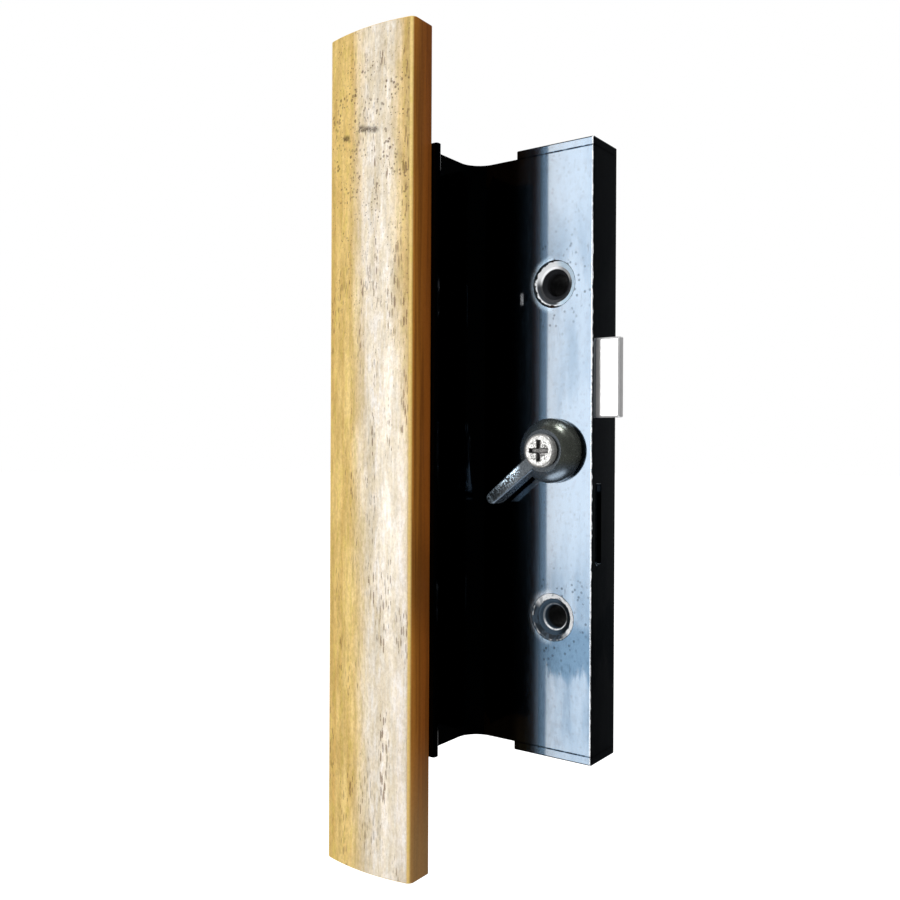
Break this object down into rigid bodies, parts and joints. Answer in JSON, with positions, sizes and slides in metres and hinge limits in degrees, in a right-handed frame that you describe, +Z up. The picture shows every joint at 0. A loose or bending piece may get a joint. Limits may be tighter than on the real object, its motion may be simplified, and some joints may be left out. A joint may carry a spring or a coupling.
{
  "type": "sliding patio door handle set",
  "caption": "Inside pull of a surface mounted sliding patio door handle set: black extruded body, hardwood grip, thumb-turn and sliding latch tongue.",
  "frame": {"origin": "on the door's face, midway between the two mounting holes", "axes": "+Z up along the grip, -Y out from the door into the room, +X towards the latch edge"},
  "size_m": [0.078, 0.0529, 0.2476],
  "materials": {
    "black_anodised_aluminium": "satin black anodised",
    "hardwood": "clear satin varnish",
    "black_cap_metal": "satin black paint",
    "black_steel": "black oxide",
    "black_cast_zinc": "satin black, rubbed",
    "zinc_plated_steel": "bright zinc plate",
    "latch_steel": "bright plated",
    "black_nylon": "moulded",
    "spring_steel": "blued"
  },
  "bodies": {
    "pull": {"handle_body": "black_anodised_aluminium", "wood_grip": "hardwood", "upper_grip_screw": "zinc_plated_steel", "middle_grip_screw": "zinc_plated_steel", "lower_grip_screw": "zinc_plated_steel", "top_end_cap": "black_cap_metal", "bottom_end_cap": "black_cap_metal", "top_cap_screw_left": "black_steel", "top_cap_screw_right": "black_steel", "bottom_cap_screw_left": "black_steel", "bottom_cap_screw_right": "black_steel", "upper_sleeve": "black_steel", "lower_sleeve": "black_steel", "thumb_turn_washer": "black_nylon", "latch_case": "zinc_plated_steel", "detent_spring": "spring_steel"},
    "turn": {"thumb_turn": "black_cast_zinc", "thumb_turn_screw": "zinc_plated_steel", "drive_cam": "zinc_plated_steel"},
    "bolt": {"latch": "latch_steel"}
  },
  "joints": [
    {"name": "thumb_turn_spin", "type": "hinge", "parent": "pull", "child": "turn", "pos_m": [0, -0.0148, 0], "axis": [0, 1, 0], "range_deg": [0, 90], "deforming": ["detent_spring"]},
    {"name": "latch_slide", "type": "slide", "parent": "pull", "child": "bolt", "axis": [1, 0, 0], "range_m": [-0.00711, 0]}
  ],
  "couplings": [
    {"joint": "latch_slide", "follows": "thumb_turn_spin", "m_per_rad": -0.00452}
  ]
}
